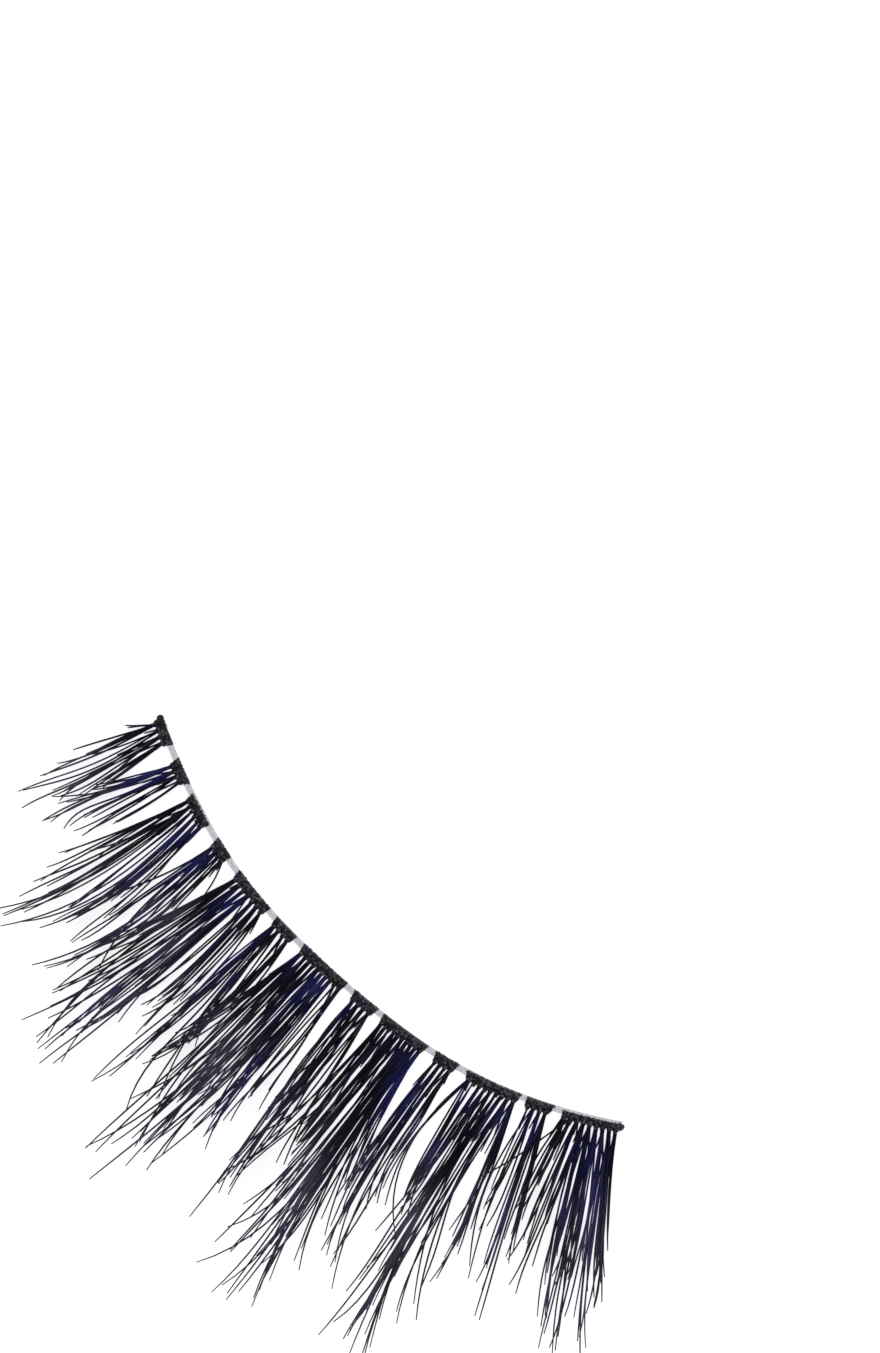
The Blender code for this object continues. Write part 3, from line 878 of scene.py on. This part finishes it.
SWAY = 0.17  # sideways waver of a hair of SWAY_LENGTH
SWAY_WAVES = (1.2, 2.2)  # half waves in its length
HOOK = 0.26  # sideways hook of the tip of a hair of SWAY_LENGTH
HOOK_LATE = 5  # power of the hook, which comes near the tip
LYING = 0.06  # lowest height of a hair's middle where it lies on the table
LYING_SPREAD = 0.16  # how far hairs pile up above it
SETTLED = 0.15  # share of the length where a hair has come down from its knot
CURL_FROM = 0.30  # share of the length where it begins to curl up
CURL_RISE = (0.23, 0.34)  # how far the tip rises, in lengths
LASH_SEED = 407
HAIR_BLACK = "#121118"
HAIR_INDIGO = "#39378F"
# violet-grey plum tint that also stands for painted sheen on the hair masses
HAIR_PLUM_SHEEN = "#7C708E"
# pale grey of the painted light at the thinning tips
HAIR_TIP_LIGHT = "#524F5B"
FIBRE_MARKS = 0.7  # changes of gloss to a millimetre; the drawing marks of real fibre are too fine to show
STREAK_KEEN = (0.6, 1.0)  # how well single hairs take a streak's dye and painted sheen
STRAY_SHARE = 0.25  # share of the hairs that are dyed indigo all along
STRAY_DYED = (0.3, 0.8)  # how strongly they are dyed
STRAY_FAINT = (0.0, 0.12)  # how strongly the others are
STRAY_WEIGHT = 0.4  # how much of it adds to the streaks' dye
PALE_FROM = 0.25  # share of the length where painted light begins to make a hair paler, for the light that passes its thinning end
PALE_TIPS = (0.3, 0.95)  # how pale the painted light makes the tips
PALE_LESS = 0.5  # how much of that a full indigo dye takes away


def lash_height(share, length, lying, rise, knots_up):
    """Height along a hair: down from its knot to the table, along it to a third of the length, then up."""
    settled = np.minimum(share / SETTLED, 1.0)
    curled = np.maximum(share - CURL_FROM, 0.0) / (1.0 - CURL_FROM)
    return knots_up + (lying - knots_up) * settled + rise * length * curled**2.0


def cluster_hairs(number, bar, locks):
    """Routes and radii of a cluster's hairs in millimetres, their plan, and the draws to go on with."""
    draws = np.random.default_rng(LASH_SEED + number)
    start, end, knots = bar[:3]
    pitch = (end - start) / knots
    table = np.array(locks, float)
    long_hairs = table[:, 4].astype(int)
    counts = long_hairs + SHORT_HAIRS
    rows = np.repeat(table, counts, axis=0)
    order = np.concatenate([np.arange(count) for count in counts])
    short = order >= np.repeat(long_hairs, counts)
    count = len(rows)
    follows = np.minimum(order, 1).astype(float)

    stations = np.linspace(start, end, EDGE_SAMPLES)
    bar_x, _, _ = edge_place(leaned(stations, BAR_DEPTH, bar), BAR_DEPTH)
    knot = np.floor((np.interp(rows[:, 0], bar_x, stations) - start) / pitch)
    knot += follows * draws.choice(KNOT_STRAY, count)
    knot = np.clip(knot, 0, knots - 1)
    roots = start + (knot + 0.5) * pitch + draws.uniform(-BUNDLE, BUNDLE, count)
    root_x, root_y, _ = edge_place(leaned(roots, BAR_DEPTH, bar), BAR_DEPTH - ROOT_HIDDEN)
    plan_roots = np.column_stack([root_x, root_y])

    splay = follows * draws.normal(0.0, SPLAY, count)
    tips = rows[:, 1:3] + splay[:, None] * np.array([1.0, SPLAY_DOWN])
    length = np.linalg.norm(tips - plan_roots, axis=1)[:, None]
    bow = rows[:, 3] + draws.normal(0.0, BOW_SPREAD, count) * (1.0 + follows) * length[:, 0] / BOW_LENGTH
    turn = plan_roots + (tips - plan_roots) * BOW_PLACE
    turn[:, 0] += 2.0 * bow
    reach = 1.0 - follows * (SHORTFALL + np.abs(draws.normal(0.0, SHORTFALL_SPREAD, count)))
    reach = np.where(short, draws.uniform(*SHORT_REACH, count), reach)[:, None]
    own_share = np.linspace(0.0, 1.0, HAIR_RINGS)[None, :]
    share = own_share * reach
    plan = (
        plan_roots[:, None] * ((1 - share) ** 2)[..., None]
        + turn[:, None] * (2 * share * (1 - share))[..., None]
        + tips[:, None] * (share**2)[..., None]
    )
    waves = draws.uniform(*SWAY_WAVES, count)[:, None]
    waver = draws.normal(0.0, SWAY, count)[:, None] * np.sin(np.pi * share * waves)
    hook = draws.normal(0.0, HOOK, count)[:, None] * share**HOOK_LATE
    plan[..., 0] += (waver * share + hook) * length / SWAY_LENGTH
    lying = (np.abs(draws.normal(0.0, LYING_SPREAD, count)) + LYING)[:, None]
    rise = draws.uniform(*CURL_RISE, count)[:, None]
    knots_up = (BAR_HEIGHT / 2.0 + draws.uniform(-ROOT_SCATTER, ROOT_SCATTER, count))[:, None]
    up = lash_height(share, length, lying, rise, knots_up)
    thickness = draws.uniform(*HAIR_THICKNESS, count)
    taper = 1.0 - HAIR_TAPER * own_share**TAPER_LATE
    radius = HAIR / 2.0 * thickness[:, None] * taper
    axis = np.array([AXIS_X, AXIS_Y])
    nearer = 1.0 - (up[..., None] - FOCUS_UP) / CAMERA_UP
    plan = axis + (plan - axis) * nearer
    routes = np.concatenate([plan + np.array([SHIFT_X, SHIFT_Y]), up[..., None]], axis=2)
    return routes, radius, plan, draws


def streak_dye_and_sheen(plan):
    """How much indigo dye, and plum tint with painted sheen, shows at points in plan: soft patches, long
    along the hairs.
    """
    dye_and_sheen = np.zeros((2, *plan.shape[:2]))
    for x, y, half_width, half_length, indigo, plum in STREAKS:
        lean = x / STREAK_LEAN
        offset = plan - np.array([x, y])
        along = offset @ np.array([np.sin(lean), -np.cos(lean)]) / half_length
        across = offset @ np.array([np.cos(lean), np.sin(lean)]) / half_width
        patch = np.exp(-(along**2) - across**2)
        dye_and_sheen += patch * np.array([indigo, plum])[:, None, None]
    return np.clip(dye_and_sheen, 0.0, 1.0)


def lash_fibre():
    """Drawn polyester lash fibre, dyed in the mass: near black with a soft, faintly uneven gloss, with
    painted sheen in its plum patches and painted light at its thinning tips.
    """
    material, shader = named_material("dyed_lash_fibre")
    indigo = add_node(material, "ShaderNodeAttribute", {"attribute_name": "indigo"})
    plum = add_node(material, "ShaderNodeAttribute", {"attribute_name": "plum"})
    tip_light = add_node(material, "ShaderNodeAttribute", {"attribute_name": "tip_light"})
    place = add_node(material, "ShaderNodeTexCoord")
    drift = add_node(
        material, "ShaderNodeTexNoise", None,
        {"Scale": FIBRE_MARKS / MM, "Detail": 3.0}, {"Vector": (place, "Object")},
    )
    blue = add_node(
        material, "ShaderNodeMix", {"data_type": "RGBA"},
        {"A": linear(HAIR_BLACK), "B": linear(HAIR_INDIGO)}, {"Factor": (indigo, "Fac")},
    )
    # Plum patches: partly a plum tint, partly painted sheen mixed into the colour.
    warm = add_node(
        material, "ShaderNodeMix", {"data_type": "RGBA"},
        {"B": linear(HAIR_PLUM_SHEEN)}, {"Factor": (plum, "Fac"), "A": (blue, "Result")},
    )
    # Painted light: the thinning ends are mixed towards pale grey, for the light that shines through them.
    tip_light_mix = add_node(
        material, "ShaderNodeMix", {"data_type": "RGBA"},
        {"B": linear(HAIR_TIP_LIGHT)}, {"Factor": (tip_light, "Fac"), "A": (warm, "Result")},
    )
    gloss = add_node(
        material, "ShaderNodeMapRange", None, {"To Min": 0.34, "To Max": 0.60}, {"Value": (drift, "Fac")}
    )
    links = material.node_tree.links
    links.new(tip_light_mix.outputs["Result"], shader.inputs["Base Color"])
    links.new(gloss.outputs["Result"], shader.inputs["Roughness"])
    shader.inputs["Specular IOR Level"].default_value = 0.12
    return material


def lash_cluster(number, bar, locks, material):
    """One cluster of hairs, which holds as attributes how indigo each point is, how much plum tint and
    painted sheen it has, and how much painted light its thinning end gets.
    """
    routes, radius, plan, draws = cluster_hairs(number, bar, locks)
    count = len(routes)
    points, faces = tubes(routes * MM, radius * MM, HAIR_SIDES)
    piece = joined_piece(f"lashes_{number:02d}", points, faces, material)
    stray = draws.random(count) < STRAY_SHARE
    dyed = draws.uniform(*STRAY_DYED, count)
    faint = draws.uniform(*STRAY_FAINT, count)
    keen = draws.uniform(*STREAK_KEEN, (2, count))[..., None]
    # The streaks give indigo dye, and a plum tint that is partly painted sheen.
    indigo, plum = streak_dye_and_sheen(plan) * keen
    indigo = np.clip(indigo + STRAY_WEIGHT * np.where(stray, dyed, faint)[:, None], 0.0, 1.0)
    share = np.linspace(0.0, 1.0, HAIR_RINGS)[None, :]
    # Painted light at the thinning ends, less where a hair is dyed deep indigo.
    outer = np.clip((share - PALE_FROM) / (1.0 - PALE_FROM), 0.0, 1.0)
    tip_light = outer * draws.uniform(*PALE_TIPS, count)[:, None] * (1.0 - PALE_LESS * indigo)
    for name, values in (("indigo", indigo), ("plum", plum), ("tip_light", tip_light)):
        spread = np.repeat(values.reshape(-1), HAIR_SIDES).astype(np.float32)
        layer = piece.data.attributes.new(name, "FLOAT", "POINT")
        layer.data.foreach_set("value", spread)
    return piece


fibre_finish = lash_fibre()
for number, (bar, locks) in enumerate(zip(BARS, LOCKS), start=1):
    cluster = lash_cluster(number, bar, locks, fibre_finish)
    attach(cluster, "root")
    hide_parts(f"lash_cluster_{number:02d}")


# White table and soft light
# A matt white light table under large softboxes, so that the strip stands out dark and hardly casts a
# shadow.

TABLE_SIZE = 1.2  # in metres
TABLE_WHITE = "#F4F4F6"
TABLE_GLOW = 0.74
STUDIO_TINT = (0.95, 0.96, 1.0, 1.0)
STUDIO_GLOW = 0.20

bpy.ops.object.select_all(action="DESELECT")
bpy.ops.mesh.primitive_plane_add(size=TABLE_SIZE, location=(0.0, 0.0, 0.0))
table = bpy.context.object
table.name = "white_table"
# Matt white board on a light table, which makes it an even white without a shine.
table_paint, table_shader = named_material("matt_white_board")
table_shader.inputs["Base Color"].default_value = linear(TABLE_WHITE)
table_shader.inputs["Roughness"].default_value = 0.9
table_shader.inputs["Specular IOR Level"].default_value = 0.1
table_shader.inputs["Emission Color"].default_value = (1.0, 1.0, 1.0, 1.0)
table_shader.inputs["Emission Strength"].default_value = TABLE_GLOW
table.data.materials.append(table_paint)

world = bpy.data.worlds.new("studio")
world.use_nodes = True
world.node_tree.nodes["Background"].inputs["Color"].default_value = STUDIO_TINT
world.node_tree.nodes["Background"].inputs["Strength"].default_value = STUDIO_GLOW
bpy.context.scene.world = world


def softbox(name, place, size, watts):
    """Square area light that faces the strip, placed and sized in metres."""
    data = bpy.data.lights.new(name, "AREA")
    data.size = size
    data.energy = watts
    light = bpy.data.objects.new(name, data)
    light.location = place
    light.rotation_euler = (-Vector(place)).to_track_quat("-Z", "Y").to_euler()
    bpy.context.scene.collection.objects.link(light)


softbox("overhead_softbox", place=(-0.12, 0.18, 0.45), size=0.30, watts=0.55)
softbox("side_softbox", place=(0.35, -0.05, 0.30), size=0.20, watts=0.2)
